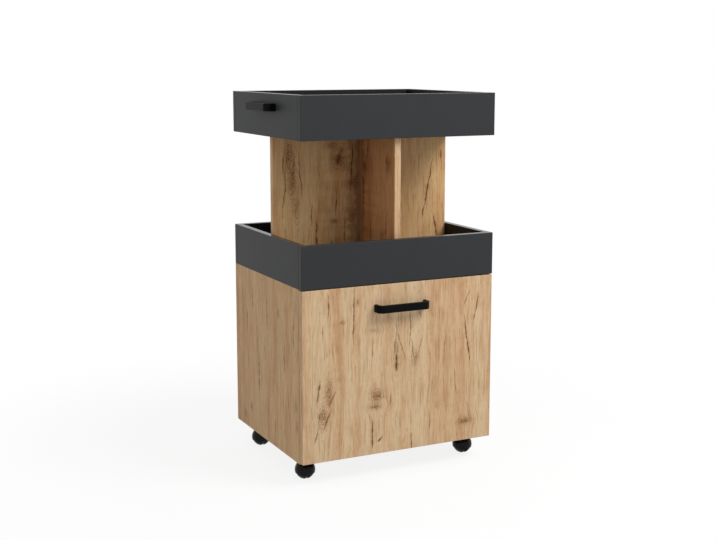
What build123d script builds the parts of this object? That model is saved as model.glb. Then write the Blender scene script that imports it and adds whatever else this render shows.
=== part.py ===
from build123d import *
import math
import os

# A bar cabinet on castors: a drawer cabinet in oak decor carries a low open tray, a cross of
# upright boards and a second tray on top. Everything is in millimetres. The floor is z = 0,
# the front faces -Y, and the origin is the middle of the whole footprint, handles included.

# Overall sizes
width = 500.0
depth = 416.0
carcass_height = 407.0
tray_height = 100.0
open_height = 232.0

# Boards
board = 16.0
edge_radius = 1.0
cut_edge_radius = 0.4
sheet = 3.0
groove_play = 0.2
back_groove_depth = 7.0
back_groove_inset = 10.0
sheet_edge_play = 0.5

# Drawer
front_reveal_top = 2.0
front_reveal_bottom = 3.0
front_reveal_side = 0.5
closing_gap = 1.0
drawer_side_height = 240.0
drawer_back_gap = 36.8
drawer_groove_height = 10.0
drawer_groove_depth = 6.0

# Roller runners, one each side of the drawer
runner_space = 12.5
runner_steel = 1.2
runner_height = 32.0
runner_floor_gap = 8.0
runner_setback = 2.0
runner_lip = 3.0
runner_side_play = 0.7
drawer_rail_drop = 6.0
roller_radius = 10.0
roller_width = 7.0
roller_play = 0.3
roller_pin_radius = 3.0
roller_pin_head_radius = 4.5
roller_pin_head = 0.8
roller_side_play = 0.4
roller_end_inset = 14.0
runner_screw_inset = 50.0
runner_screw_count = 3

# Bow handles
handle_centres = 128.0
handle_projection = 26.0
handle_face = 18.0
handle_thickness = 8.0
handle_corner_radius = 14.0
handle_edge_radius = 1.2
drawer_handle_drop = 54.0
tray_handle_drop = 31.0

# Ball castors with two wheels under a hood
castor_height = 54.0
castor_plate_side = 38.0
castor_plate_thickness = 2.0
castor_plate_corner = 5.0
castor_plate_gap = 1.0
castor_inset_y = 62.0
castor_screw_spacing = 28.0
castor_trail = 10.0
hood_radius = 24.2
hood_wall = 1.2
hood_wheel_gap = 0.5
hood_skirt = 7.0
web_thickness = 4.0
web_wheel_gap = 0.5
boss_radius = 8.0
boss_plate_gap = 0.5
swivel_pin_radius = 4.0
swivel_pin_length = 6.7
swivel_socket_end_gap = 0.3
tread_land = 2.7
tread_edge = 0.8
wheel_hub_radius = 7.0
wheel_hub_dish = 0.8
axle_radius = 2.0
axle_end_cover = 3.4
axle_end_gap = 0.3
running_play = 0.05

# Screws
screw_radius = 1.75
screw_head_radius = 3.3
screw_head_height = 1.4
castor_screw_length = 12.0
runner_screw_length = 12.0
rail_screw_length = 12.0
machine_screw_radius = 2.0
machine_screw_head_radius = 4.0
machine_screw_head_height = 2.4
machine_screw_bite = 7.0
recess_width = 1.0
recess_length = 3.6
recess_depth = 0.8

# Cam fittings and dowels
cam_radius = 7.5
cam_height = 12.0
cam_pocket_depth = 12.5
cam_reach = 24.0
cam_slot_width = 1.6
cam_slot_length = 9.0
cam_slot_depth = 1.2
bolt_radius = 3.0
bolt_hole_play = 0.3
bolt_bite = 11.0
dowel_radius = 4.0
dowel_bite = 10.0
dowel_reach = 20.0
carcass_cam_inset = 25.0
carcass_dowel_inset = 115.0
ring_cam_inset = 75.0
corner_cam_height = 30.0
corner_dowel_height = 70.0
floor_cam_inset = 50.0
floor_dowel_inset = 120.0
upright_cam_inset = 50.0
upright_dowel_step = 65.0
divider_dowel_step = 50.0
front_divider_dowel_inset = 100.0
rear_divider_dowel_inset = 60.0
drawer_cam_inset = 45.0

# Where the cabinet stands in the footprint
left_x = -(width - handle_projection) / 2
right_x = left_x + width
mid_x = (left_x + right_x) / 2
front_y = -(depth - handle_projection) / 2
back_y = front_y + depth
mid_y = (front_y + back_y) / 2
base_z = castor_height
deck_z = base_z + carcass_height
lower_rim_z = deck_z + tray_height
upper_base_z = lower_rim_z + open_height
top_z = upper_base_z + tray_height

# Inner faces of the side boards, of the tray walls and of the carcass
inner_left = left_x + board
inner_right = right_x - board
inner_front = front_y + board
inner_back = back_y - board
inner_width = inner_right - inner_left
inner_depth = inner_back - inner_front
carcass_front = inner_front + closing_gap
carcass_depth = back_y - carcass_front
bay_floor_z = base_z + board
bay_roof_z = deck_z - board
back_groove_y = back_y - back_groove_inset - sheet - groove_play

X = Vector(1, 0, 0)
Y = Vector(0, 1, 0)
Z = Vector(0, 0, 1)
LOW_CORNER = (Align.MIN, Align.MIN, Align.MIN)
FROM_START = (Align.CENTER, Align.CENTER, Align.MIN)
MIRROR_PLANE = Plane(origin=(mid_x, 0, 0), z_dir=(1, 0, 0))

parts = {}
cuts = {}
fittings = {"cam_fittings": [], "wood_dowels": [], "drawer_cam_fittings": []}


def block(x, y, z, dx, dy, dz):
    """A plain block, given by its low corner and its three sides."""
    return Pos(x, y, z) * Box(dx, dy, dz, align=LOW_CORNER)


def panel(name, x, y, z, dx, dy, dz, radius=edge_radius):
    """A board with softened edges, kept under its name until its holes are cut."""
    solid = block(x, y, z, dx, dy, dz)
    parts[name] = fillet(solid.edges(), radius)
    cuts[name] = []


def rod(start, direction, length, radius):
    """A round bar from a start point along a direction."""
    return Plane(origin=start, z_dir=direction) * Cylinder(radius, length, align=FROM_START)


def slab_about(centre, axis, length, side, height):
    """A thin block along an axis from a centre point, used as a screwdriver slot."""
    return Plane(origin=centre, z_dir=axis) * Box(length, side, height, align=FROM_START)


def mirrored(solid):
    """The same piece for the right-hand side of the cabinet."""
    return mirror(solid, about=MIRROR_PLANE)


def cam_joint(group, face_board, edge_board, point, into_edge, pocket_side):
    """A cam fitting: its bolt sits in a face board, its cam turns in the edge board."""
    centre = point + into_edge * cam_reach
    mouth = centre + pocket_side * (board / 2)
    bolt = rod(point - into_edge * bolt_bite, into_edge, bolt_bite + cam_reach, bolt_radius)
    cam = rod(mouth, -pocket_side, cam_height, cam_radius) - bolt
    cam -= slab_about(mouth, -pocket_side, cam_slot_length, cam_slot_width, cam_slot_depth)
    fittings[group] += [bolt, cam]
    cuts[face_board].append(rod(point - into_edge * bolt_bite, into_edge, bolt_bite, bolt_radius))
    cuts[edge_board].append(rod(point, into_edge, cam_reach, bolt_radius + bolt_hole_play))
    cuts[edge_board].append(rod(mouth, -pocket_side, cam_pocket_depth, cam_radius))


def dowel_joint(face_board, edge_board, point, into_edge):
    """A plain wooden dowel across a butt joint."""
    start = point - into_edge * dowel_bite
    fittings["wood_dowels"].append(rod(start, into_edge, dowel_bite + dowel_reach, dowel_radius))
    cuts[face_board].append(rod(start, into_edge, dowel_bite, dowel_radius))
    cuts[edge_board].append(rod(point, into_edge, dowel_reach, dowel_radius))


def both_sides():
    """Name, inner face and inward direction of the left and of the right side."""
    return (("left", inner_left, X), ("right", inner_right, -X))


def tray_ring(name, base):
    """Four walls of a tray. The front and back walls cover the ends of the side walls."""
    panel(name + "_front", left_x, front_y, base, width, board, tray_height)
    panel(name + "_back", left_x, inner_back, base, width, board, tray_height)
    panel(name + "_left", left_x, inner_front, base, board, inner_depth, tray_height)
    panel(name + "_right", inner_right, inner_front, base, board, inner_depth, tray_height)
    for side, face, inward in both_sides():
        wall_x = face - inward.X * board / 2
        for wall, y, into in (("_front", inner_front, Y), ("_back", inner_back, -Y)):
            cam_point = Vector(wall_x, y, base + corner_cam_height)
            cam_joint("cam_fittings", name + wall, name + "_" + side, cam_point, into, inward)
            dowel_point = Vector(wall_x, y, base + corner_dowel_height)
            dowel_joint(name + wall, name + "_" + side, dowel_point, into)


def back_sheet():
    """The thin back of the cabinet and the groove that holds it all round."""
    reach = back_groove_depth - sheet_edge_play
    parts["back_panel"] = block(
        inner_left - reach,
        back_groove_y + groove_play / 2,
        bay_floor_z - reach,
        inner_width + 2 * reach,
        sheet,
        bay_roof_z - bay_floor_z + 2 * reach,
    )
    groove = block(
        inner_left - back_groove_depth,
        back_groove_y,
        bay_floor_z - back_groove_depth,
        inner_width + 2 * back_groove_depth,
        sheet + groove_play,
        bay_roof_z - bay_floor_z + 2 * back_groove_depth,
    )
    for name in ("side_panel_left", "side_panel_right", "bottom_panel", "top_panel"):
        cuts[name].append(groove)


def carcass():
    """The box of the cabinet: two sides, bottom, top and a grooved back."""
    panel("side_panel_left", left_x, carcass_front, base_z, board, carcass_depth, carcass_height)
    panel("side_panel_right", inner_right, carcass_front, base_z, board, carcass_depth, carcass_height)
    for name, z in (("bottom_panel", base_z), ("top_panel", bay_roof_z)):
        panel(name, inner_left, carcass_front, z, inner_width, carcass_depth, board, cut_edge_radius)
    back_sheet()
    cam_rows = (carcass_front + carcass_cam_inset, back_y - carcass_cam_inset)
    dowel_rows = (carcass_front + carcass_dowel_inset, back_y - carcass_dowel_inset)
    for side, face, inward in both_sides():
        for name, z in (("bottom_panel", base_z), ("top_panel", bay_roof_z)):
            for y in cam_rows:
                point = Vector(face, y, z + board / 2)
                cam_joint("cam_fittings", "side_panel_" + side, name, point, inward, -Z)
            for y in dowel_rows:
                point = Vector(face, y, z + board / 2)
                dowel_joint("side_panel_" + side, name, point, inward)


def lower_tray():
    """The low tray stands on the cabinet and is drawn down to its sides."""
    tray_ring("lower_tray", deck_z)
    for side, face, inward in both_sides():
        for y in (inner_front + ring_cam_inset, inner_back - ring_cam_inset):
            point = Vector(face - inward.X * board / 2, y, deck_z)
            wall = "lower_tray_" + side
            cam_joint("cam_fittings", "side_panel_" + side, wall, point, Z, inward)


def upper_tray():
    """The top tray: four walls round a floor that is flush with their lower edges."""
    tray_ring("upper_tray", upper_base_z)
    floor = "upper_tray_floor"
    panel(floor, inner_left, inner_front, upper_base_z, inner_width, inner_depth, board, cut_edge_radius)
    z = upper_base_z + board / 2
    for side, face, inward in both_sides():
        wall = "upper_tray_" + side
        for y in (inner_front + floor_cam_inset, inner_back - floor_cam_inset):
            cam_joint("cam_fittings", wall, floor, Vector(face, y, z), inward, -Z)
        dowel_joint(wall, floor, Vector(face, mid_y, z), inward)
    for wall, y, into in (("upper_tray_front", inner_front, Y), ("upper_tray_back", inner_back, -Y)):
        for x in (inner_left + floor_dowel_inset, inner_right - floor_dowel_inset):
            dowel_joint(wall, floor, Vector(x, y, z), into)


def stand_on_deck(name, x, y, pocket_side, dowel_step):
    """Fix the foot and the head of an upright board at one place along it."""
    for face_board, z, into in (("top_panel", deck_z, Z), ("upper_tray_floor", upper_base_z, -Z)):
        point = Vector(x, y, z)
        cam_joint("cam_fittings", face_board, name, point, into, pocket_side)
        dowel_joint(face_board, name, point + dowel_step, into)


def uprights():
    """The cross of boards between the trays: one wide board and a divider on each side of it."""
    height = upper_base_z - deck_z
    front_face = mid_y - board / 2
    rear_face = mid_y + board / 2
    divider_x = mid_x - board / 2
    panel("upright_panel", inner_left, front_face, deck_z, inner_width, board, height)
    panel("divider_front", divider_x, inner_front, deck_z, board, front_face - inner_front, height)
    panel("divider_rear", divider_x, rear_face, deck_z, board, inner_back - rear_face, height)
    stand_on_deck("upright_panel", inner_left + upright_cam_inset, mid_y, Y, X * upright_dowel_step)
    stand_on_deck("upright_panel", inner_right - upright_cam_inset, mid_y, Y, -X * upright_dowel_step)
    front_middle = (inner_front + front_face) / 2
    rear_middle = (rear_face + inner_back) / 2
    stand_on_deck("divider_front", mid_x, front_middle, X, -Y * divider_dowel_step)
    stand_on_deck("divider_rear", mid_x, rear_middle, X, Y * divider_dowel_step)
    for name, y, into, inset in (
        ("divider_front", front_face, -Y, front_divider_dowel_inset),
        ("divider_rear", rear_face, Y, rear_divider_dowel_inset),
    ):
        for z in (deck_z + inset, upper_base_z - inset):
            dowel_joint("upright_panel", name, Vector(mid_x, y, z), into)


# The drawer hangs between its runners, a little above the bottom board
runner_base_z = bay_floor_z + runner_floor_gap
drawer_base_z = runner_base_z + drawer_rail_drop
drawer_left = inner_left + runner_space
drawer_right = inner_right - runner_space
drawer_inner_left = drawer_left + board
drawer_inner_right = drawer_right - board
drawer_back_y = back_groove_y - drawer_back_gap
drawer_box_length = drawer_back_y - inner_front
drawer_top_z = drawer_base_z + drawer_side_height
front_top_z = deck_z - front_reveal_top


def drawer_floor():
    """The thin drawer bottom, held in grooves in the sides and the front."""
    z = drawer_base_z + drawer_groove_height
    reach = drawer_groove_depth - sheet_edge_play
    parts["drawer_bottom"] = block(
        drawer_inner_left - reach,
        inner_front - reach,
        z + groove_play / 2,
        drawer_inner_right - drawer_inner_left + 2 * reach,
        drawer_box_length + reach,
        sheet,
    )
    groove = block(
        drawer_inner_left - drawer_groove_depth,
        inner_front - drawer_groove_depth,
        z,
        drawer_inner_right - drawer_inner_left + 2 * drawer_groove_depth,
        drawer_box_length + drawer_groove_depth,
        sheet + groove_play,
    )
    for name in ("drawer_front", "drawer_side_left", "drawer_side_right"):
        cuts[name].append(groove)
    return z + sheet + groove_play


def drawer_box():
    """A full-height front with a lower box behind it, joined by cam fittings."""
    front_base_z = base_z + front_reveal_bottom
    front_width = width - 2 * front_reveal_side
    front_x = left_x + front_reveal_side
    panel("drawer_front", front_x, front_y, front_base_z, front_width, board, front_top_z - front_base_z)
    for side, x in (("left", drawer_left), ("right", drawer_inner_right)):
        name = "drawer_side_" + side
        panel(name, x, inner_front, drawer_base_z, board, drawer_box_length, drawer_side_height)
    back_base_z = drawer_floor()
    back_width = drawer_inner_right - drawer_inner_left
    back_height = drawer_top_z - back_base_z
    panel("drawer_back", drawer_inner_left, drawer_back_y - board, back_base_z, back_width, board, back_height)
    group = "drawer_cam_fittings"
    for side, face, inward in (("left", drawer_inner_left, X), ("right", drawer_inner_right, -X)):
        name = "drawer_side_" + side
        for z in (drawer_base_z + drawer_cam_inset, drawer_top_z - drawer_cam_inset):
            point = Vector(face - inward.X * board / 2, inner_front, z)
            cam_joint(group, "drawer_front", name, point, Y, inward)
            point = Vector(face, drawer_back_y - board / 2, z)
            cam_joint(group, name, "drawer_back", point, inward, Y)


# Both halves of a runner are as long as the drawer box. Heights are counted from the lower flange.
runner_length = drawer_box_length
track_z = runner_base_z + runner_steel
roller_z = track_z + roller_play + roller_radius
rail_flange_z = roller_z + roller_radius + roller_play
channel_reach = runner_space - runner_steel - runner_side_play
cabinet_runner_front = carcass_front + runner_setback
cabinet_roller_y = cabinet_runner_front + roller_end_inset
drawer_roller_y = drawer_back_y - roller_end_inset
rail_face_x = drawer_left - runner_steel
runner_screw_z = (rail_flange_z + runner_steel + runner_base_z + runner_height - runner_steel) / 2


def roller_pin(start, direction):
    """The riveted pin of a roller with its flat head."""
    pin_length = roller_width + 2 * roller_side_play
    head = rod(start + direction * pin_length, direction, roller_pin_head, roller_pin_head_radius)
    return rod(start, direction, pin_length, roller_pin_radius) + head


def roller(start, direction):
    """A nylon roller on its pin, with a rounded running edge."""
    solid = rod(start + direction * roller_side_play, direction, roller_width, roller_radius)
    solid = fillet(solid.edges(), edge_radius)
    bore = rod(start, direction, roller_width + 2 * roller_side_play, roller_pin_radius + running_play)
    return solid - bore


def cabinet_runner():
    """The fixed channel on the left side panel, with the pin of its front roller."""
    y = cabinet_runner_front
    web = block(inner_left, y, runner_base_z, runner_steel, runner_length, runner_height)
    track = block(inner_left, y, runner_base_z, channel_reach, runner_length, runner_steel)
    top = runner_base_z + runner_height - runner_steel
    cover = block(inner_left, y, top, channel_reach, runner_length, runner_steel)
    lip_x = inner_left + channel_reach - runner_steel
    lip = block(lip_x, y, top - runner_lip, runner_steel, runner_length, runner_lip)
    pin = roller_pin(Vector(inner_left + runner_steel, cabinet_roller_y, roller_z), X)
    return web + track + cover + lip + pin


def drawer_runner():
    """The rail on the left drawer side: an upper track, a web and a flange under the board."""
    y = inner_front
    web_height = rail_flange_z + runner_steel - (drawer_base_z - runner_steel)
    web = block(rail_face_x, y, drawer_base_z - runner_steel, runner_steel, drawer_box_length, web_height)
    track_x = inner_left + runner_steel + runner_side_play
    track = block(track_x, y, rail_flange_z, drawer_left - track_x, drawer_box_length, runner_steel)
    foot_z = drawer_base_z - runner_steel
    foot = block(rail_face_x, y, foot_z, runner_steel + board, drawer_box_length, runner_steel)
    pin = roller_pin(Vector(rail_face_x, drawer_roller_y, roller_z), -X)
    return web + track + foot + pin


def spaced(start, length, inset, count):
    """Even places along a length, from one inset to the other."""
    step = (length - 2 * inset) / (count - 1)
    return [start + inset + step * index for index in range(count)]


def headed_screw(seat, direction, length, radius, head_radius, head_height):
    """A screw with a cross recess: its head rests on the seat point, its shank goes along direction."""
    head_start = seat - direction * head_height
    head = rod(head_start, direction, head_height, head_radius)
    for turn in (0, 90):
        slot = Box(recess_length, recess_width, recess_depth, align=FROM_START)
        head -= Plane(origin=head_start, z_dir=direction) * Rot(0, 0, turn) * slot
    return head + rod(seat, direction, length, radius)


def wood_screw(seat, direction, length):
    """A pan-head wood screw."""
    return headed_screw(seat, direction, length, screw_radius, screw_head_radius, screw_head_height)


def runners():
    """Both pairs of runners with their rollers and screws."""
    fixed = cabinet_runner()
    rail = drawer_runner()
    fixed_screws = []
    rail_screws = []
    runner_holes = {"side_panel": [], "drawer_side": []}
    for y in spaced(cabinet_runner_front, runner_length, runner_screw_inset, runner_screw_count):
        seat = Vector(inner_left + runner_steel, y, runner_screw_z)
        fixed_screws.append(wood_screw(seat, -X, runner_screw_length))
        runner_holes["side_panel"].append(rod(seat, -X, runner_screw_length, screw_radius))
        fixed -= rod(seat, -X, runner_steel, screw_radius)
    for y in spaced(inner_front, drawer_box_length, runner_screw_inset, runner_screw_count):
        seat = Vector(drawer_left + board / 2, y, drawer_base_z - runner_steel)
        rail_screws.append(wood_screw(seat, Z, rail_screw_length))
        runner_holes["drawer_side"].append(rod(seat, Z, rail_screw_length, screw_radius))
        rail -= rod(seat, Z, runner_steel, screw_radius)
    for name in ("side_panel", "drawer_side"):
        cuts[name + "_right"] += [mirrored(hole) for hole in runner_holes[name]]
        cuts[name + "_left"] += runner_holes[name]
    cabinet_roller = roller(Vector(inner_left + runner_steel, cabinet_roller_y, roller_z), X)
    drawer_roller = roller(Vector(rail_face_x, drawer_roller_y, roller_z), -X)
    for name, solid in (
        ("cabinet_runner", fixed),
        ("drawer_runner", rail),
        ("cabinet_roller", cabinet_roller),
        ("drawer_roller", drawer_roller),
    ):
        parts[name + "_left"] = solid
        parts[name + "_right"] = mirrored(solid)
    parts["cabinet_runner_screws"] = Compound(fixed_screws + [mirrored(s) for s in fixed_screws])
    parts["drawer_runner_screws"] = Compound(rail_screws + [mirrored(s) for s in rail_screws])


def bow_handle():
    """A flat bow handle that stands out along -Y, its length along X, its feet on y = 0."""
    length = handle_centres + handle_thickness
    solid = Pos(0, -handle_projection / 2, 0) * Box(length, handle_projection, handle_face)
    outer = solid.edges().filter_by(Axis.Z).sort_by(Axis.Y)[:2]
    solid = fillet(outer, handle_corner_radius)
    gap_length = length - 2 * handle_thickness
    gap_depth = handle_projection - handle_thickness
    gap = Pos(0, -gap_depth / 2, 0) * Box(gap_length, gap_depth, handle_face)
    inner = gap.edges().filter_by(Axis.Z).sort_by(Axis.Y)[:2]
    solid -= fillet(inner, handle_corner_radius - handle_thickness)
    foot_edges = solid.faces().sort_by(Axis.Y)[-2:].edges()
    return fillet([edge for edge in solid.edges() if edge not in foot_edges], handle_edge_radius)


def handle(name, place, wall_node):
    """A handle, its two machine screws through the board and the holes for them."""
    solid = bow_handle()
    screws = []
    length = board + machine_screw_bite
    for x in (-handle_centres / 2, handle_centres / 2):
        seat = Vector(x, board, 0)
        hole = rod(seat, -Y, length, machine_screw_radius)
        sizes = (length, machine_screw_radius, machine_screw_head_radius, machine_screw_head_height)
        screws.append(place * headed_screw(seat, -Y, *sizes))
        solid -= hole
        cuts[wall_node].append(place * hole)
    parts[name] = place * solid
    parts[name + "_screws"] = Compound(screws)


wheel_shell = hood_radius - hood_wall - hood_wheel_gap
wheel_inner = web_thickness / 2 + web_wheel_gap
land_end = wheel_inner + tread_land
wheel_radius = math.sqrt(wheel_shell**2 - land_end**2)
wheel_outer = math.sqrt(wheel_shell**2 - wheel_hub_radius**2)
axle_z = wheel_radius
axle_half = wheel_outer - axle_end_cover
BALL_CENTRE = Pos(0, -castor_trail, axle_z)


def castor_wheel():
    """The left wheel: a domed half ball with a flat tread and a blind bore from inside."""
    middle = (land_end + wheel_outer) / 2
    dome = (middle, math.sqrt(wheel_shell**2 - middle**2))
    bore = axle_radius + running_play
    bore_end = axle_half + axle_end_gap
    hub = wheel_hub_radius - wheel_hub_dish
    with BuildSketch(Plane.XZ) as profile:
        with BuildLine():
            Line((wheel_inner, bore), (wheel_inner, wheel_radius - tread_edge))
            Line((wheel_inner, wheel_radius - tread_edge), (wheel_inner + tread_edge, wheel_radius))
            Line((wheel_inner + tread_edge, wheel_radius), (land_end, wheel_radius))
            ThreePointArc((land_end, wheel_radius), dome, (wheel_outer, wheel_hub_radius))
            Line((wheel_outer, wheel_hub_radius), (wheel_outer - wheel_hub_dish, hub))
            Line((wheel_outer - wheel_hub_dish, hub), (wheel_outer - wheel_hub_dish, 0))
            Line((wheel_outer - wheel_hub_dish, 0), (bore_end, 0))
            Line((bore_end, 0), (bore_end, bore))
            Line((bore_end, bore), (wheel_inner, bore))
        make_face()
    return BALL_CENTRE * mirror(revolve(profile.sketch, Axis.X, 360), about=Plane.YZ)


def wheel_bay():
    """The hollow on the right of the web that the wheel turns in."""
    radius = hood_radius - hood_wall
    with BuildSketch(Plane.XZ) as profile:
        with BuildLine():
            near = web_thickness / 2
            edge = math.sqrt(radius**2 - near**2)
            middle = radius * math.sqrt(0.5)
            Line((near, 0), (near, edge))
            ThreePointArc((near, edge), (middle, middle), (radius, 0))
            Line((radius, 0), (near, 0))
        make_face()
    return BALL_CENTRE * revolve(profile.sketch, Axis.X, 360)


def castor_hood():
    """The swivelling body: a ball-shaped hood, a web that holds the axle and the swivel socket."""
    with BuildSketch(Plane.XZ) as profile:
        with BuildLine():
            rim = math.sqrt(hood_radius**2 - hood_skirt**2)
            middle = hood_radius * math.sqrt(0.5)
            Line((0, hood_radius), (0, -hood_skirt))
            Line((0, -hood_skirt), (rim, -hood_skirt))
            ThreePointArc((rim, -hood_skirt), (middle, middle), (0, hood_radius))
        make_face()
    ball = BALL_CENTRE * revolve(profile.sketch, Axis.Z, 360)
    socket_top = castor_height - castor_plate_thickness - boss_plate_gap
    ball += rod(Vector(0, 0, axle_z), Z, socket_top - axle_z, boss_radius)
    bay = wheel_bay()
    ball -= bay
    ball -= mirror(bay, about=Plane.YZ)
    ball -= BALL_CENTRE * rod(Vector(-web_thickness, 0, 0), X, 2 * web_thickness, axle_radius)
    socket_end = castor_height - castor_plate_thickness - swivel_pin_length - swivel_socket_end_gap
    depth_of_socket = socket_top - socket_end
    return ball - rod(Vector(0, 0, socket_end), Z, depth_of_socket, swivel_pin_radius + running_play)


def castor_plate():
    """The square fixing plate with the swivel pin riveted to it and four screw holes."""
    plate_z = castor_height - castor_plate_thickness
    plate = Pos(0, 0, plate_z) * Box(
        castor_plate_side, castor_plate_side, castor_plate_thickness, align=FROM_START
    )
    plate = fillet(plate.edges().filter_by(Axis.Z), castor_plate_corner)
    plate += rod(Vector(0, 0, plate_z), -Z, swivel_pin_length, swivel_pin_radius)
    for seat in castor_screw_seats():
        plate -= rod(seat, Z, castor_plate_thickness, screw_radius)
    return plate


def castor_screw_seats():
    """The four places under the plate where its screws sit."""
    half = castor_screw_spacing / 2
    z = castor_height - castor_plate_thickness
    return [Vector(x, y, z) for x in (-half, half) for y in (-half, half)]


def castors():
    """Four castors, all with their wheels trailing to the front."""
    inset_x = board + castor_plate_gap + castor_plate_side / 2
    plate = castor_plate()
    hood = castor_hood()
    wheel = castor_wheel()
    axle = BALL_CENTRE * rod(Vector(-axle_half, 0, 0), X, 2 * axle_half, axle_radius)
    screws = []
    for row, y in (("front", carcass_front + castor_inset_y), ("rear", back_y - castor_inset_y)):
        for side, x in (("left", left_x + inset_x), ("right", right_x - inset_x)):
            place = Pos(x, y, 0)
            name = "castor_" + row + "_" + side
            parts[name + "_plate"] = place * plate
            parts[name + "_hood"] = place * hood
            parts[name + "_axle"] = place * axle
            parts[name + "_wheel_left"] = place * wheel
            parts[name + "_wheel_right"] = place * mirror(wheel, about=Plane.YZ)
            for seat in castor_screw_seats():
                length = castor_plate_thickness + castor_screw_length
                screws.append(place * wood_screw(seat, Z, length))
                cuts["bottom_panel"].append(place * rod(seat, Z, length, screw_radius))
    parts["castor_screws"] = Compound(screws)


def drill():
    """Cut every hole, pocket and groove into its board."""
    for name, tools in cuts.items():
        solid = parts[name]
        for tool in tools:
            solid -= tool
        parts[name] = solid


def main():
    carcass()
    lower_tray()
    upper_tray()
    uprights()
    drawer_box()
    runners()
    drawer_handle_z = front_top_z - drawer_handle_drop
    handle("drawer_handle", Pos(mid_x, front_y, drawer_handle_z), "drawer_front")
    tray_handle_z = top_z - tray_handle_drop
    handle("tray_handle", Pos(left_x, mid_y, tray_handle_z) * Rot(0, 0, -90), "upper_tray_left")
    castors()
    drill()
    for name, solids in fittings.items():
        parts[name] = Compound(solids)
    os.makedirs("parts", exist_ok=True)
    for name, solid in parts.items():
        export_step(solid, "parts/" + name + ".step")
    print(len(parts), "nodes")


main()
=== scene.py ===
# %% [markdown]
# # A rolling bar cabinet, dressed over its construction model
# The construction model gives every board, screw and castor at its real size. This script keeps
# those pieces where they are and gives every surface the finish of its real material. Lengths are
# in metres, in the model's own frame: the floor is z = 0, the front faces -Y, and +X is to the
# right of someone who faces the front.

# %% Load the frame
import math

import bmesh
import bpy
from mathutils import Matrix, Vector


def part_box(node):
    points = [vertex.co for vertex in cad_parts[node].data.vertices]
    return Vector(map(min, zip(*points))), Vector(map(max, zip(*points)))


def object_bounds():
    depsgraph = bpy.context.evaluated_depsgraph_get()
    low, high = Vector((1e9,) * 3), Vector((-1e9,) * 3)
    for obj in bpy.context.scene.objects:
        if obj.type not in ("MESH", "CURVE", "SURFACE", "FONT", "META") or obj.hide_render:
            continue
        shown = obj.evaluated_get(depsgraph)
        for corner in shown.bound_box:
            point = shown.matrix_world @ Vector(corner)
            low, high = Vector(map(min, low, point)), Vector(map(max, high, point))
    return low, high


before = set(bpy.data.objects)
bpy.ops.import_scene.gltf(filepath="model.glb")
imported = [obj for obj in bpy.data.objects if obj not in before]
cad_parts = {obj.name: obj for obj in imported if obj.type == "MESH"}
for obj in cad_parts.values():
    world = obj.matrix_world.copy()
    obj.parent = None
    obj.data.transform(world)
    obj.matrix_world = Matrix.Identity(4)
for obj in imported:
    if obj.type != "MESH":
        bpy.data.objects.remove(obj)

cad_low, cad_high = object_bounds()
MM = 0.001
print("frame", len(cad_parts), "nodes,", [round(v, 3) for v in cad_high - cad_low], "m")

# %% [markdown]
# ## Helpers for colours and nodes
# Colours are picked as the hex values that a screen shows, and shading works in linear light, so
# one function turns the first into the second. A second one adds a shader node. The values after
# its kind go to the sockets that are in use, in their order, or by name through named. A value
# that is a node or a socket is linked, and any other is set. Every material is written with these
# two, so a recipe stays about as short as its description.


# %% Colour and node helpers
def linear(code, level=1.0):
    """A screen colour such as "#C8A27A" as linear red, green, blue and alpha, scaled by level."""
    screen = [int(code[start:start + 2], 16) / 255 for start in (1, 3, 5)]
    light = [c / 12.92 if c <= 0.04045 else ((c + 0.055) / 1.055) ** 2.4 for c in screen]
    return [level * value for value in light] + [1.0]


def add(tree, kind, *values, named=None, stops=(), **settings):
    """Adds a node, applies its settings, and sets or links its inputs and its colour stops."""
    made = tree.nodes.new("ShaderNode" + kind)
    for name, value in settings.items():
        setattr(made, name, value)
    live = [socket for socket in made.inputs if socket.enabled]
    by_name = [(made.inputs[key], value) for key, value in (named or {}).items()]
    for socket, value in [*zip(live, values), *by_name]:
        if isinstance(value, bpy.types.Node):
            value = next(output for output in value.outputs if output.enabled)
        if isinstance(value, bpy.types.NodeSocket):
            tree.links.new(value, socket)
        else:
            socket.default_value = value
    for index, (place, colour) in enumerate(stops):
        elements = made.color_ramp.elements
        element = elements[index] if index < len(elements) else elements.new(place)
        element.position = place
        element.color = colour
    return made


def new_material(name):
    """An empty node material. Returns the material, its node tree and its Principled shader."""
    material = bpy.data.materials.new(name)
    material.use_nodes = True
    return material, material.node_tree, material.node_tree.nodes["Principled BSDF"]


def finish_nodes(material, *names):
    """Gives CAD nodes this finish in place of their plain one."""
    for name in names:
        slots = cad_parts[name].data.materials
        slots.clear()
        slots.append(material)


WHITE = (1, 1, 1, 1)

# %% [markdown]
# ## Oak decor: where the pattern lies
# The cabinet, its drawer front and the uprights are chipboard faced with melamine paper that is
# printed as rustic oak and pressed with a fine grain. An image of a board would be the usual way,
# but a pattern worked out in the shader needs no file and never repeats. It needs two directions:
# across the grain and along it, both in millimetres from the lowest corner of the board. The
# third direction goes through the board and carries the grain over its edges, as on solid wood.

# %% Grain directions
AXES = {"X": 0, "Y": 1, "Z": 2}


def grain_space(tree, corner, across, along):
    """Millimetres across, along and through a board, counted from its lowest corner."""
    place = add(tree, "TexCoord").outputs["Object"]
    from_corner = add(tree, "VectorMath", place, corner, operation="SUBTRACT")
    in_mm = add(tree, "VectorMath", from_corner, 1 / MM, operation="SCALE")
    parts = add(tree, "SeparateXYZ", in_mm).outputs
    through = ({"X", "Y", "Z"} - {across, along}).pop()
    return parts[AXES[across]], parts[AXES[along]], parts[AXES[through]]


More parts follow.
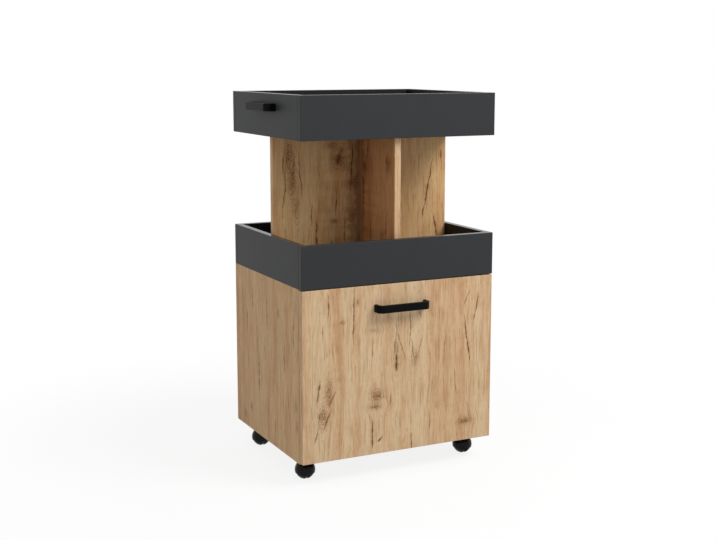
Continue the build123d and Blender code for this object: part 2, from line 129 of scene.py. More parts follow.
def new_group(name, inputs, outputs):
    """A shader node group. Its sockets are numbers, apart from an output that is named Colour."""
    group = bpy.data.node_groups.new(name, "ShaderNodeTree")
    for label in inputs:
        group.interface.new_socket(label, in_out="INPUT", socket_type="NodeSocketFloat")
    for label in outputs:
        kind = "NodeSocketColor" if label == "Colour" else "NodeSocketFloat"
        group.interface.new_socket(label, in_out="OUTPUT", socket_type=kind)
    given = group.nodes.new("NodeGroupInput").outputs
    result = group.nodes.new("NodeGroupOutput").inputs
    return group, given, result


# %% [markdown]
# ## Knots and cracks
# Rustic oak is picked for its knots and for the dark cracks that open along the grain. A knot is
# an oval smudge with a ragged edge and a few broken rings, and the fibres bow out around it. A
# crack is a thin dark line that tapers to nothing at its ends, wanders a little, closes here and
# there, and stains the wood beside it. Each is made once as a node group and placed where a board
# shows one, by its place and half sizes. A last number says how dark it is, so the same knot also
# gives the soft brown stains of heartwood. The scale of a noise is one over the size of its
# patches: 10 mm for a knot's ragged edge, 4 mm for its specks, 45 mm for the wander of a crack
# and 20 mm for its gaps.

# %% Sizes inside a knot and a crack
EDGE_SCALE = 0.10
SPECK_SCALE = 0.24
RING_SPACING = 0.2
RING_REACH = 0.09
WANDER_SCALE = 0.022
GAP_SCALE = 0.05
MOST_WANDER = 8.0
# Each crack reads its own stretch of the noise, this many millimetres on for each one across.
APART = 13.7


# %% The knot group
def knot_group():
    """Heart is a knot's stain, Rings are its broken year rings, and Push moves the grain aside."""
    labels = ("Across", "Along", "At across", "At along", "Half width", "Half length", "Darkness")
    group, given, result = new_group("oak knot", labels, ("Heart", "Rings", "Push"))
    across, along, at_across, at_along, half_width, half_length, darkness = given[:7]
    where = add(group, "CombineXYZ", across, along, 0.0)
    ragged = add(group, "TexNoise", where, EDGE_SCALE, 3.0, 0.6)
    specks = add(group, "TexNoise", where, SPECK_SCALE, 4.0, 0.65)
    patchy = add(group, "MapRange", specks, 0.40, 0.58, 0.35, 1.2)
    offset = add(group, "Math", across, at_across, operation="SUBTRACT")
    rise = add(group, "Math", along, at_along, operation="SUBTRACT")
    wide = add(group, "Math", offset, half_width, operation="DIVIDE")
    long = add(group, "Math", rise, half_length, operation="DIVIDE")
    wide = add(group, "Math", wide, 2.0, operation="POWER")
    long = add(group, "Math", long, 2.0, operation="POWER")
    oval = add(group, "Math", wide, long, operation="ADD")
    unevenness = add(group, "Math", ragged, 2.0, 0.05, operation="MULTIPLY_ADD")
    uneven_oval = add(group, "Math", oval, unevenness, operation="MULTIPLY")
    fall = add(group, "Math", uneven_oval, -1.1, operation="MULTIPLY")
    stain = add(group, "Math", fall, operation="EXPONENT")
    stain = add(group, "Math", stain, patchy, operation="MULTIPLY")
    heart = add(group, "Math", stain, darkness, operation="MULTIPLY")
    group.links.new(heart.outputs[0], result["Heart"])
    even_radius = add(group, "Math", oval, operation="SQRT")
    radius = add(group, "Math", ragged, 0.9, even_radius, operation="MULTIPLY_ADD")
    ring = add(group, "Math", radius, RING_SPACING, operation="PINGPONG")
    ring = add(group, "MapRange", ring, 0.0, RING_REACH, 1.0, 0.0, interpolation_type="SMOOTHSTEP")
    fall = add(group, "Math", oval, -0.35, operation="MULTIPLY")
    fading = add(group, "Math", fall, operation="EXPONENT")
    ring = add(group, "Math", ring, fading, operation="MULTIPLY")
    ring = add(group, "Math", ring, patchy, operation="MULTIPLY")
    rings = add(group, "Math", ring, darkness, operation="MULTIPLY")
    group.links.new(rings.outputs[0], result["Rings"])
    fall = add(group, "Math", oval, -0.18, operation="MULTIPLY")
    bow = add(group, "Math", fall, operation="EXPONENT")
    bowed = add(group, "Math", offset, bow, operation="MULTIPLY")
    push = add(group, "Math", bowed, -0.42, operation="MULTIPLY")
    group.links.new(push.outputs[0], result["Push"])
    return group


# %% The crack group
def crack_group():
    """Depth is the dark of a thin wandering line, and Stain is the softer band beside it."""
    labels = ("Across", "Along", "At across", "At along")
    labels += ("Half length", "Half width", "Lean", "Darkness")
    group, given, result = new_group("oak crack", labels, ("Depth", "Stain"))
    across, along, at_across, at_along, half_length, half_width, lean, darkness = given[:8]
    rise = add(group, "Math", along, at_along, operation="SUBTRACT")
    share = add(group, "Math", rise, half_length, operation="DIVIDE")
    squared = add(group, "Math", share, 2.0, operation="POWER")
    taper = add(group, "Math", 1.0, squared, operation="SUBTRACT")
    place = add(group, "Math", at_across, APART, along, operation="MULTIPLY_ADD")
    wander = add(group, "TexNoise", place, WANDER_SCALE, 4.0, 0.5, noise_dimensions="1D")
    either_way = add(group, "Math", wander, 0.5, operation="SUBTRACT")
    sway = add(group, "Math", either_way, MOST_WANDER, operation="MULTIPLY")
    line = add(group, "Math", lean, rise, at_across, operation="MULTIPLY_ADD")
    line = add(group, "Math", line, sway, operation="ADD")
    beside = add(group, "Math", across, line, operation="SUBTRACT")
    off_line = add(group, "Math", beside, operation="ABSOLUTE")
    gaps = add(group, "TexNoise", place, GAP_SCALE, 1.0, noise_dimensions="1D")
    opening = add(group, "MapRange", gaps, 0.35, 0.65, 0.45, 1.3)
    width = add(group, "Math", taper, opening, operation="MULTIPLY")
    width = add(group, "Math", width, half_width, operation="MULTIPLY")
    for label, spread, steepness in (("Depth", 1.4, 1.8), ("Stain", 5.0, 0.9)):
        reach = add(group, "Math", width, spread, operation="MULTIPLY")
        reach = add(group, "Math", reach, 0.001, operation="MAXIMUM")
        away = add(group, "Math", off_line, reach, operation="DIVIDE")
        depth = add(group, "Math", 1.0, away, operation="SUBTRACT")
        depth = add(group, "Math", depth, steepness, operation="MULTIPLY", use_clamp=True)
        dark = add(group, "Math", depth, darkness, operation="MULTIPLY")
        group.links.new(dark.outputs[0], result[label])
    return group


KNOT = knot_group()
CRACK = crack_group()
print("marks", {group.name: len(group.nodes) for group in (KNOT, CRACK)}, "nodes")

# %% [markdown]
# ## The oak print
# From large to small, the print has bands as wide as heartwood and sapwood, blotches, growth
# lines that wander, streaks of darker fibres, and short pores. Each is a noise that is stretched
# along the grain by its own amount. Growth lines are drawn where a noise crosses its middle,
# which gives long thin lines that part and meet as year rings do, and they are strong in some
# patches and faint in others. The whole print is one group, and each board takes a different
# stretch of it, so no two look alike.


# %% The oak print group
def oak_print_group():
    """Printed colour and fibre relief at a place on the decor, given in millimetres."""
    labels = ("Across", "Along", "Through")
    group, given, result = new_group("oak print", labels, ("Colour", "Fibres"))
    across, along, through = given[:3]

    def grain(label, wide, long, detail, rough=0.5):
        """Noise with patches of this width and length in mm."""
        where = add(
            group,
            "CombineXYZ",
            add(group, "Math", across, wide, operation="DIVIDE"),
            add(group, "Math", along, long, operation="DIVIDE"),
            add(group, "Math", through, wide, operation="DIVIDE"),
        )
        made = add(group, "TexNoise", where, 1.0, detail, rough)
        made.label = label
        return made

    for width, length, sway in ((75, 300, 18.0), (24, 90, 3.5)):
        wander = add(group, "Math", grain("wander", width, length, 3.0), 0.5, operation="SUBTRACT")
        across = add(group, "Math", wander, sway, across, operation="MULTIPLY_ADD")
    bands = grain("bands", 40, 1400, 4.0, 0.6)
    blotches = grain("blotches", 19, 75, 4.0, 0.6)
    tone = add(group, "Math", bands, 0.65, operation="MULTIPLY")
    tone = add(group, "Math", blotches, 0.35, tone, operation="MULTIPLY_ADD")
    shades = ((0.34, "#CEAA84"), (0.44, "#DABF9A"), (0.54, "#D2AF88"), (0.64, "#C29871"))
    colour = add(group, "ValToRGB", tone, stops=[(place, linear(code)) for place, code in shades])
    patches = add(group, "MapRange", grain("patches", 34, 120, 2.0), 0.40, 0.62, 0.25, 1.0)
    lines = (
        ("growth lines", 9, 620, 3.0, 0.030, 0.28),
        ("fine growth lines", 3.6, 260, 3.0, 0.05, 0.24),
    )
    for label, wide, long, detail, reach, strength in lines:
        crossing = add(group, "Math", grain(label, wide, long, detail), 0.5, operation="SUBTRACT")
        crossing = add(group, "Math", crossing, operation="ABSOLUTE")
        line = add(
            group, "MapRange", crossing, 0.0, reach, strength, 0.0, interpolation_type="SMOOTHSTEP"
        )
        amount = add(group, "Math", line, patches, operation="MULTIPLY")
        colour = add(group, "Mix", amount, colour, linear("#8F6238"), data_type="RGBA")
    streaks = add(group, "MapRange", grain("streaks", 4.5, 90, 5.0, 0.6), 0.54, 0.70, 0.0, 0.6)
    colour = add(group, "Mix", streaks, colour, linear("#9A6E42"), data_type="RGBA")
    fibres = grain("fibres", 1.9, 60, 4.0, 0.6)
    shade = add(group, "ValToRGB", fibres, stops=((0.30, (0.84, 0.81, 0.76, 1)), (0.56, WHITE)))
    colour = add(group, "Mix", 0.6, colour, shade, data_type="RGBA", blend_type="MULTIPLY")
    for label, wide, long, most in (("pores", 1.5, 15, 0.4), ("dashes", 2.8, 34, 0.42)):
        pores = add(group, "MapRange", grain(label, wide, long, 3.0, 0.55), 0.60, 0.70, 0.0, most)
        colour = add(group, "Mix", pores, colour, linear("#7A5029"), data_type="RGBA")
    group.links.new(colour.outputs[2], result["Colour"])
    group.links.new(fibres.outputs[0], result["Fibres"])
    return group


OAK_PRINT = oak_print_group()
print("oak print", len(OAK_PRINT.nodes), "nodes")

# %% [markdown]
# ## Oak decor on one board
# A board's material places its knots and cracks, bends the grain round them, reads the print, and
# lays the dark features over it. Some boards get a tint of painted shade: the left side, which
# faces away from the main light, and the upright and the dividers, which stand in the shade between
# the trays, are darker and warmer than the print, the warmth standing in for light bounced between
# the wood faces. The tint stays on the broad faces, so that the narrow edges, such as the lit front
# edge of a divider, keep the plain print. The stain beside the cracks has a colour and a strength,
# and it is redder on the upright and its front divider, where it also colours the painted shade in
# their corner. Melamine is a hard plastic film with an IOR of 1.5. The press leaves it matt, so its
# reflection is kept low, and the cracks and fibres get a little depth through the bump.

# %% Reflection and usual stain of the oak decor
MATT_SPECULAR = 0.2
OAK_STAIN = ("#965B30", 0.60)


# %% Oak decor
def oak_decor(
    name,
    node,
    across="X",
    along="Z",
    shift=0.0,
    knots=(),
    cracks=(),
    tint="#FFFFFF",
    stain=OAK_STAIN,
):
    """Melamine board printed and pressed as rustic oak, for one board."""
    material, tree, shader = new_material(name)
    flat, high, deep = grain_space(tree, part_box(node)[0], across, along)
    pushed = flat
    strongest = {"Heart": 0.0, "Rings": 0.0, "Depth": 0.0, "Stain": 0.0}
    for group, places in ((KNOT, knots), (CRACK, cracks)):
        for place in places:
            mark = add(tree, "Group", flat, high, *place, node_tree=group)
            for output in mark.outputs:
                if output.name == "Push":
                    pushed = add(tree, "Math", pushed, output, operation="ADD")
                else:
                    so_far = strongest[output.name]
                    strongest[output.name] = add(tree, "Math", so_far, output, operation="MAXIMUM")
    moved = add(tree, "Math", high, shift, operation="ADD")
    oak = add(tree, "Group", pushed, moved, deep, node_tree=OAK_PRINT)
    colour = oak.outputs["Colour"]
    for label, code, strength in (
        ("Stain", *stain),
        ("Heart", "#7C5129", 0.95),
        ("Rings", "#6E4520", 0.75),
        ("Depth", "#3B2412", 0.95),
    ):
        amount = add(tree, "Math", strongest[label], strength, operation="MULTIPLY", use_clamp=True)
        colour = add(tree, "Mix", amount, colour, linear(code), data_type="RGBA")
    # The tint is painted shade, laid over the broad faces only.
    through = ({"X", "Y", "Z"} - {across, along}).pop()
    normal = add(tree, "SeparateXYZ", add(tree, "TexCoord").outputs["Normal"]).outputs[through]
    facing = add(tree, "Math", normal, operation="ABSOLUTE")
    broad = add(tree, "Math", facing, 0.7, operation="GREATER_THAN")
    colour = add(tree, "Mix", broad, colour, linear(tint), data_type="RGBA", blend_type="MULTIPLY")
    tree.links.new(colour.outputs[2], shader.inputs["Base Color"])
    rough = add(tree, "Math", oak.outputs["Fibres"], -0.12, 0.62, operation="MULTIPLY_ADD")
    tree.links.new(rough.outputs[0], shader.inputs["Roughness"])
    shader.inputs["Specular IOR Level"].default_value = MATT_SPECULAR
    relief = add(tree, "Math", oak.outputs["Fibres"], 0.5, operation="MULTIPLY")
    relief = add(tree, "Math", relief, strongest["Depth"], operation="SUBTRACT")
    bump = add(tree, "Bump", named={"Strength": 0.35, "Distance": 0.15 * MM, "Height": relief})
    tree.links.new(bump.outputs["Normal"], shader.inputs["Normal"])
    finish_nodes(material, node)


# %% [markdown]
# ## Knots and cracks of each board
# The drawer front carries the show: two knots low down, spots near the top, and cracks that run
# with the grain. A joiner would mark each by its distance from the lower left corner of the
# board. A knot is (across, along, half width, half length, darkness) and a crack is (across,
# along, half length, half width, lean, darkness). All are in millimetres but the darkness, which
# is 1 at most, and the lean, which is how far a crack moves across for each step along. A crack
# that is very long, wide and faint gives a soft painted shade instead. The first two entries of the
# upright and the first of the divider are painted shade of this kind, and they darken the corner
# where the two boards meet.

# %% Oak drawer front
FRONT_KNOTS = (
    (190, 140, 15, 13, 1.0),
    (184, 114, 16, 6, 0.85),
    (427, 48, 17, 8, 1.0),
    (139, 366, 5, 8, 0.7),
    (100, 322, 6, 4, 0.8),
    (66, 158, 10, 28, 0.75),
    (52, 106, 11, 24, 0.8),
    (240, 234, 7, 34, 0.5),
    (290, 215, 8, 22, 0.5),
    (90, 190, 6, 8, 0.35),
    (352, 100, 8, 10, 0.3),
    (180, 296, 14, 5, 0.4),
)
FRONT_CRACKS = (
    (65, 366, 30, 1.0, 0.0, 0.9),
    (129, 332, 70, 1.0, 0.02, 0.9),
    (51, 304, 18, 0.9, 0.0, 0.6),
    (240, 214, 22, 2.0, -0.05, 0.9),
    (250, 262, 50, 0.9, -0.28, 0.6),
    (236, 258, 44, 0.8, 0.12, 0.5),
    (177, 250, 40, 0.9, 0.04, 0.5),
    (276, 300, 56, 1.0, 0.02, 0.8),
    (284, 240, 30, 1.0, -0.2, 0.6),
    (300, 238, 34, 0.8, 0.3, 0.5),
    (431, 252, 64, 1.2, -0.16, 1.0),
    (455, 324, 40, 1.1, 0.16, 1.0),
    (430, 352, 20, 0.9, 0.5, 0.7),
    (177, 50, 38, 1.4, 0.0, 1.0),
    (281, 18, 22, 1.1, 0.0, 0.9),
    (199, 35, 8, 2.4, 0.8, 0.9),
    (40, 168, 26, 1.4, 0.22, 0.9),
    (62, 100, 30, 1.2, 0.4, 0.8),
    (42, 104, 16, 1.2, 0.1, 0.7),
    (74, 146, 20, 1.2, 0.45, 0.7),
    (36, 66, 20, 1.1, 0.35, 0.7),
    (225, 120, 24, 0.8, 0.0, 0.5),
    (330, 60, 26, 0.8, 0.05, 0.6),
    (300, 330, 20, 0.9, -0.35, 0.6),
    (370, 240, 60, 0.7, 0.06, 0.5),
    (400, 150, 40, 0.8, -0.1, 0.5),
)
oak_decor(
    "oak decor drawer front",
    "drawer_front",
    shift=1700,
    knots=FRONT_KNOTS,
    cracks=FRONT_CRACKS,
)
print("drawer front", len(FRONT_KNOTS), "knots and", len(FRONT_CRACKS), "cracks")

# %% Oak sides
SIDE_KNOTS = (
    (18, 130, 8, 18, 0.5),
    (12, 84, 8, 14, 0.5),
    (120, 330, 7, 9, 0.5),
    (300, 60, 7, 9, 0.5),
    (250, 210, 6, 40, 0.35),
)
SIDE_CRACKS = (
    (321, 280, 26, 1.1, 0.0, 0.8),
    (85, 235, 44, 1.2, 0.0, 0.8),
    (245, 150, 60, 1.4, 0.0, 0.8),
    (143, 44, 26, 1.1, 0.0, 0.8),
    (340, 30, 16, 1.2, 0.0, 0.8),
    (190, 320, 44, 1.1, 0.0, 0.7),
    (30, 300, 44, 1.1, 0.0, 0.7),
    (205, 230, 34, 1.2, 0.0, 0.7),
    (282, 330, 38, 1.1, 0.0, 0.7),
    (60, 120, 50, 1.0, 0.1, 0.6),
)
oak_decor(
    "oak decor left side",
    "side_panel_left",
    "Y",
    shift=5200,
    knots=SIDE_KNOTS,
    cracks=SIDE_CRACKS,
    # The tint is painted shade: this side faces away from the main light.
    tint="#FFF6E9",
)
oak_decor(
    "oak decor right side",
    "side_panel_right",
    "Y",
    shift=9400,
    knots=SIDE_KNOTS[1:3],
    cracks=SIDE_CRACKS[1:5],
)
print("left side", len(SIDE_KNOTS), "knots and", len(SIDE_CRACKS), "cracks")

# %% Oak upright
UPRIGHT_KNOTS = (
    (40, 284, 11, 36, 0.9),
    (50, 226, 11, 42, 0.8),
    (60, 160, 9, 36, 0.55),
    (172, 268, 18, 17, 1.0),
    (178, 292, 10, 9, 0.9),
    (160, 122, 9, 7, 0.8),
    (152, 306, 11, 10, 0.8),
    (236, 290, 12, 22, 0.8),
    (214, 216, 14, 18, 0.9),
    (206, 132, 10, 20, 0.7),
)
UPRIGHT_CRACKS_AND_SHADES = (
    # The first two entries are not cracks but painted shade: they darken the corner by the front
    # divider.
    (216, 166, 700, 24.0, 0.0, 0.30),
    (224, 166, 700, 11.0, 0.0, 0.50),
    (170, 272, 15, 5.0, 0.15, 0.6),
    (28, 268, 34, 1.0, 0.10, 0.7),
    (54, 262, 30, 0.9, 0.12, 0.6),
    (112, 88, 40, 1.3, -0.03, 0.9),
    (100, 140, 30, 1.0, 0.1, 0.7),
    (164, 170, 40, 1.0, 0.0, 0.8),
    (206, 250, 64, 1.6, 0.05, 0.9),
    (416, 186, 84, 1.3, 0.19, 0.9),
    (440, 92, 40, 1.3, -0.18, 0.9),
    (455, 268, 22, 1.1, 0.0, 0.8),
    (150, 60, 18, 1.1, 0.2, 0.8),
    (30, 210, 80, 0.9, 0.08, 0.7),
    (70, 240, 60, 0.9, -0.10, 0.7),
    (186, 100, 50, 1.0, 0.04, 0.7),
)
oak_decor(
    "oak decor upright",
    "upright_panel",
    shift=13100,
    knots=UPRIGHT_KNOTS,
    cracks=UPRIGHT_CRACKS_AND_SHADES,
    # The tint is painted shade for the shade under the upper tray, warmed as by light bounced off
    # the wood.
    tint="#FFF3DC",
    # The redder stain colours the real crack stains and also the painted shade in the corner.
    stain=("#9A5228", 0.75),
)
print("upright", len(UPRIGHT_KNOTS), "knots and", len(UPRIGHT_CRACKS_AND_SHADES), "cracks")

# %% Oak dividers and bottom
DIVIDER_KNOTS = ((30, 270, 12, 18, 0.8), (60, 100, 10, 12, 0.6), (150, 250, 14, 20, 0.8))
DIVIDER_CRACKS_AND_SHADE = (
    # The first entry is not a crack but painted shade: it darkens the divider's face by the corner.
    (176, 166, 700, 22.0, 0.0, 0.35),
    (160, 190, 90, 1.8, 0.0, 0.8),
    (140, 290, 34, 1.6, -0.2, 0.8),
    (40, 268, 28, 1.4, 0.1, 0.8),
    (120, 90, 50, 1.6, 0.05, 0.8),
    (45, 110, 28, 1.2, 0.0, 0.7),
)
oak_decor(
    "oak decor front divider",
    "divider_front",
    "Y",
    shift=17800,
    knots=DIVIDER_KNOTS,
    cracks=DIVIDER_CRACKS_AND_SHADE,
    # The tint is painted shade for the divider's shaded faces, warmed as by light bounced off the
    # wood.
    tint="#F4CFB0",
    # The redder stain colours the real crack stains and also the painted shade by the corner.
    stain=("#965026", 0.70),
)
oak_decor(
    "oak decor rear divider",
    "divider_rear",
    "Y",
    shift=21300,
    cracks=DIVIDER_CRACKS_AND_SHADE[1:3],
    # The tint is painted shade: the rear divider stands in the shade of the upright.
    tint="#F6DEC4",
)
oak_decor("oak decor bottom", "bottom_panel", "Y", "X", shift=25000)
print("oak boards", len([m for m in bpy.data.materials if m.name.startswith("oak decor")]))

# %% [markdown]
# ## Anthracite melamine
# The two trays are faced with plain anthracite melamine, pressed with a pearl texture of grains
# about half a millimetre across. The grains are too fine to show from a few steps away, so they
# are drawn at 1.2 mm, and a faint cloudiness breaks up the large flat faces. The narrow edges of
# the tray walls are covered by a smoother plastic band, so their faces that look up are less
# rough and catch the light at low angles, as the rims of the trays do. In the trays, the inner
# faces of the walls and the floors are given a near-black painted shade. A face looks inwards
# where its normal points back towards the middle of the cabinet, and a dot product of its place
# and its normal tells that. The drawer box has the same film in light grey. The thin back and the
# drawer bottom are fibreboard with a grey lacquer, duller and with a coarser grain.


# %% Plain melamine
PEARL_SPECULAR = 0.18


def pearl_melamine(name, colour, roughness, nodes, grain_mm=1.2, band_roughness=None, painted_shade_inside=None):
    """Plain melamine with a pearl texture. A tray wall has smoother bands and painted shade on its
    inner faces.
    """
    material, tree, shader = new_material(name)
    coordinates = add(tree, "TexCoord").outputs
    place = coordinates["Object"]
    grains = add(tree, "TexNoise", place, 1 / (grain_mm * MM), 2.0)
    clouds = add(tree, "TexNoise", place, 1 / (60 * MM), 3.0)
    darker_and_lighter = ((0.35, linear(colour, 0.975)), (0.65, linear(colour, 1.025)))
    shade = add(tree, "ValToRGB", clouds, stops=darker_and_lighter)
    speckle = add(tree, "ValToRGB", grains, stops=((0.3, (0.92, 0.92, 0.92, 1)), (0.7, WHITE)))
    # Inner faces of a tray wall get a near-black painted shade.
    if painted_shade_inside is not None:
        from_middle = add(tree, "VectorMath", place, (1, 1, 0), operation="MULTIPLY")
        normal = coordinates["Normal"]
        outward = add(tree, "VectorMath", from_middle, normal, operation="DOT_PRODUCT")
        painted_shade_inward = add(tree, "Math", outward.outputs["Value"], 0.0, operation="LESS_THAN")
        shade = add(tree, "Mix", painted_shade_inward, shade, linear(painted_shade_inside), data_type="RGBA")
    tinted = add(tree, "Mix", 1.0, shade, speckle, data_type="RGBA", blend_type="MULTIPLY")
    tree.links.new(tinted.outputs[2], shader.inputs["Base Color"])
    rough = add(tree, "Math", grains, 0.08, roughness - 0.04, operation="MULTIPLY_ADD")
    if band_roughness is not None:
        upward = add(tree, "SeparateXYZ", add(tree, "NewGeometry").outputs["Normal"]).outputs["Z"]
        banded = add(tree, "MapRange", upward, 0.7, 0.9)
        rough = add(tree, "Mix", banded, rough, band_roughness, data_type="FLOAT")
    tree.links.new(rough.outputs[0], shader.inputs["Roughness"])
    shader.inputs["Specular IOR Level"].default_value = PEARL_SPECULAR
    bump = add(tree, "Bump", named={"Strength": 0.25, "Distance": 0.05 * MM, "Height": grains})
    tree.links.new(bump.outputs["Normal"], shader.inputs["Normal"])
    finish_nodes(material, *nodes)


sides = ("left", "right")
walls = ("front", "back") + sides
tray_boards = [tray + "_tray_" + wall for tray in ("lower", "upper") for wall in walls]
tray_floors = ["upper_tray_floor", "top_panel"]
drawer_boards = ["drawer_side_left", "drawer_side_right", "drawer_back"]
ANTHRACITE = "#303133"
# Near-black painted shade for the inner faces of the tray walls and for the tray floors.
TRAY_INSIDE_PAINTED_SHADE = "#1B1B1D"
BAND_ROUGHNESS = 0.22
pearl_melamine(
    "anthracite melamine walls",
    ANTHRACITE,
    0.5,
    tray_boards,
    band_roughness=BAND_ROUGHNESS,
    painted_shade_inside=TRAY_INSIDE_PAINTED_SHADE,
)
pearl_melamine("melamine floors with painted shade", TRAY_INSIDE_PAINTED_SHADE, 0.5, tray_floors)
pearl_melamine("light grey melamine", "#C9C7C2", 0.5, drawer_boards)
pearl_melamine("grey lacquered fibreboard", "#A9A49C", 0.6, ["back_panel", "drawer_bottom"], 2.0)
print("tray boards", len(tray_boards + tray_floors), "and drawer boards", len(drawer_boards))

# %% [markdown]
# ## Metals and plastics of the fittings
# Cam fittings and screws are zinc plated steel: a metal of pale grey with a fine mottle. The
# runners are rolled steel under white powder coat, which has a slight orange peel. Rollers are
# nylon, a milky plastic, and the dowels are turned beech, warm and dull. The handles are die cast
# metal under satin black powder coat, and the castors are moulded in black polyamide, smoother
# than the handles and with a soft highlight.


# %% Fittings
def fine_grained(
    name, colour, roughness, nodes, metallic=0.0, specular=0.5, grain_mm=0.8, relief_mm=0.02
):
    """Metal, coat or moulded plastic with a fine even grain in its tone, gloss and relief."""
    material, tree, shader = new_material(name)
    place = add(tree, "TexCoord").outputs["Object"]
    grain = add(tree, "TexNoise", place, 1 / (grain_mm * MM), 2.0)
    darker_and_full = ((0.35, linear(colour, 0.88)), (0.65, linear(colour)))
    tint = add(tree, "ValToRGB", grain, stops=darker_and_full)
    tree.links.new(tint.outputs[0], shader.inputs["Base Color"])
    rough = add(tree, "Math", grain, 0.1, roughness - 0.05, operation="MULTIPLY_ADD")
    tree.links.new(rough.outputs[0], shader.inputs["Roughness"])
    shader.inputs["Metallic"].default_value = metallic
    shader.inputs["Specular IOR Level"].default_value = specular
    bump = add(tree, "Bump", named={"Strength": 0.3, "Distance": relief_mm * MM, "Height": grain})
    tree.links.new(bump.outputs["Normal"], shader.inputs["Normal"])
    finish_nodes(material, *nodes)


castors = ["castor_" + row + "_" + side for row in ("front", "rear") for side in sides]
zinc_nodes = [castor + "_" + piece for castor in castors for piece in ("plate", "axle")]
zinc_nodes += ["cabinet_runner_screws", "drawer_runner_screws"]
zinc_nodes += ["cam_fittings", "drawer_cam_fittings", "castor_screws"]
zinc_nodes += ["drawer_handle_screws", "tray_handle_screws"]
runner_nodes = [owner + "_runner_" + side for owner in ("cabinet", "drawer") for side in sides]
roller_nodes = [owner + "_roller_" + side for owner in ("cabinet", "drawer") for side in sides]
wheel_nodes = [castor + "_wheel_" + side for castor in castors for side in sides]
hood_nodes = [castor + "_hood" for castor in castors]
handle_nodes = ["drawer_handle", "tray_handle"]
fine_grained("zinc plated steel", "#B9BBBE", 0.38, zinc_nodes, metallic=1.0)
fine_grained("white powder coated steel", "#E3E2DE", 0.4, runner_nodes, grain_mm=1.5)
fine_grained("nylon", "#DDDBD3", 0.45, roller_nodes)
fine_grained("beech dowel", "#C89B6A", 0.7, ["wood_dowels"])
fine_grained("satin black powder coat", "#060607", 0.42, handle_nodes, specular=0.07)
fine_grained("black polyamide hood", "#050506", 0.24, hood_nodes, specular=0.14)
fine_grained("black polyamide wheel", "#070708", 0.28, wheel_nodes, specular=0.12)
print("fittings: zinc", len(zinc_nodes), "runners", len(runner_nodes), "wheels", len(wheel_nodes))

# %% [markdown]
# ## Floor and background
# The cabinet stands on a plain white sweep, lit so brightly that only a trace of its shadow is
# left. To the camera most of the floor's light is a plain glow, and the rest is a matt white
# surface that takes the shadow. Further out it turns into pure white, as the world behind it is,
# so no horizon shows. Light that bounces off it meets a greyer paint, which keeps the undersides
# darker. The world is white to the camera and to reflections, and lights the cabinet evenly from
# all round at a lower level.

# %% World and floor
FILL = 0.60
SHADOW_SHARE = 0.14


def seen_rays(tree):
    """1 for the rays that show a background: from the camera, in a reflection or through glass."""
    ray = add(tree, "LightPath").outputs
    seen = add(tree, "Math", ray["Is Camera Ray"], ray["Is Glossy Ray"], operation="MAXIMUM")
    return add(tree, "Math", seen, ray["Is Transmission Ray"], operation="MAXIMUM")


def white_world():
    """Even light all round, with a white background for the camera and for reflections."""
    world = bpy.data.worlds.new("white studio")
    bpy.context.scene.world = world
    world.use_nodes = True
    tree = world.node_tree
    strength = add(tree, "Math", seen_rays(tree), 1.0 - FILL, FILL, operation="MULTIPLY_ADD")
    background = tree.nodes["Background"]
    background.inputs["Color"].default_value = WHITE
    tree.links.new(strength.outputs[0], background.inputs["Strength"])


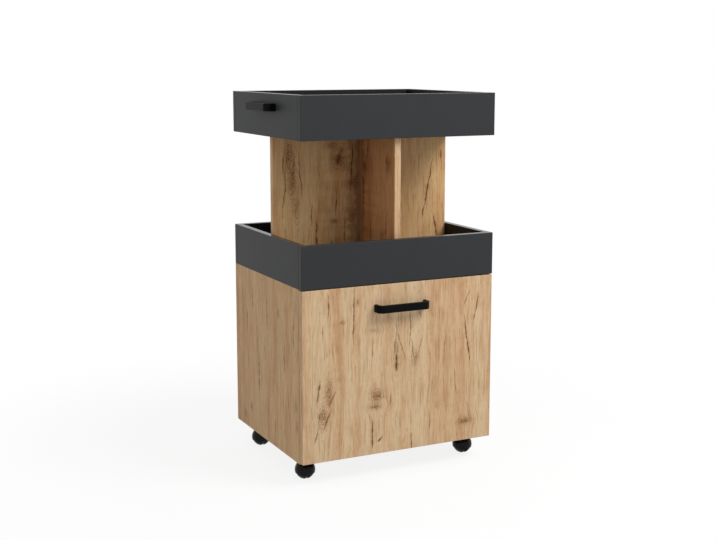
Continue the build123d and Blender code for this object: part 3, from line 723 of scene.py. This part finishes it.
def white_floor(half_size=6.0, solid_to=0.5, white_from=1.3):
    """A floor that takes a faint shadow near the cabinet and turns pure white further out."""
    shape = bmesh.new()
    bmesh.ops.create_grid(shape, x_segments=1, y_segments=1, size=half_size)
    mesh = bpy.data.meshes.new("floor")
    shape.to_mesh(mesh)
    shape.free()
    floor = bpy.data.objects.new("floor", mesh)
    bpy.context.scene.collection.objects.link(floor)
    material, tree, shader = new_material("white floor")
    seen = seen_rays(tree)
    paint = add(tree, "Mix", seen, linear("#C6C6C6"), linear("#F4F4F4"), data_type="RGBA")
    tree.links.new(paint.outputs[2], shader.inputs["Base Color"])
    shader.inputs["Roughness"].default_value = 0.9
    shader.inputs["Specular IOR Level"].default_value = 0.1
    place = add(tree, "TexCoord").outputs["Object"]
    distance = add(tree, "VectorMath", place, operation="LENGTH")
    glowing = add(
        tree,
        "MapRange",
        distance,
        solid_to,
        white_from,
        1.0 - SHADOW_SHARE,
        1.0,
        interpolation_type="SMOOTHSTEP",
    )
    share = add(tree, "Math", glowing, seen, operation="MULTIPLY")
    glow = add(tree, "Emission", WHITE, 1.0)
    both = add(tree, "MixShader", share, shader, glow)
    tree.links.new(both.outputs[0], tree.nodes["Material Output"].inputs["Surface"])
    mesh.materials.append(material)


white_world()
white_floor()
print("fill light", FILL, "and shadow share", SHADOW_SHARE)

# %% [markdown]
# ## Light
# The shadow of the drawer handle falls about 17 mm to the left and 27 mm down while the bar
# stands 22 mm out, so the main light stands to the front right and about 44 degrees up. A large
# square lamp there gives the soft edges that the picture shows.


# %% Main light
def soft_lamp(name, towards, distance, size, power):
    """A square lamp that stands off in a direction and faces the middle of the cabinet."""
    data = bpy.data.lights.new(name, "AREA")
    data.shape = "SQUARE"
    data.size = size
    data.energy = power
    lamp = bpy.data.objects.new(name, data)
    bpy.context.scene.collection.objects.link(lamp)
    direction = Vector(towards).normalized()
    lamp.location = (cad_low + cad_high) / 2 + direction * distance
    lamp.rotation_euler = (-direction).to_track_quat("-Z", "Y").to_euler()


soft_lamp("main light", towards=(17, -22, 27), distance=3.2, size=1.4, power=69)

# %% [markdown]
# ## Camera
# The camera was found by fitting the corners of the boards. Its lens covers 716 pixels with 1191
# pixels of focal length. Most of the framing comes from a slight tilt, and only a small part from
# shift. Views from other sides keep the shift, and a large one would crop them.

# %% Camera
FRAME_WIDTH = 716
FOCAL_PIXELS = 1190.8
TILT = math.radians(8.66)
TURN = 0.4584
camera_data = bpy.data.cameras.new("camera")
camera_data.sensor_width = 36
camera_data.lens = FOCAL_PIXELS / FRAME_WIDTH * camera_data.sensor_width
camera_data.shift_y = -0.04
camera = bpy.data.objects.new("camera", camera_data)
bpy.context.scene.collection.objects.link(camera)
camera.location = (-1.2740, -2.5808, 0.9686)
camera.rotation_euler = (math.pi / 2 - TILT, 0, -TURN)
bpy.context.scene.camera = camera
bpy.context.scene.view_settings.view_transform = "Standard"
print("lens", round(camera_data.lens, 1), "mm")
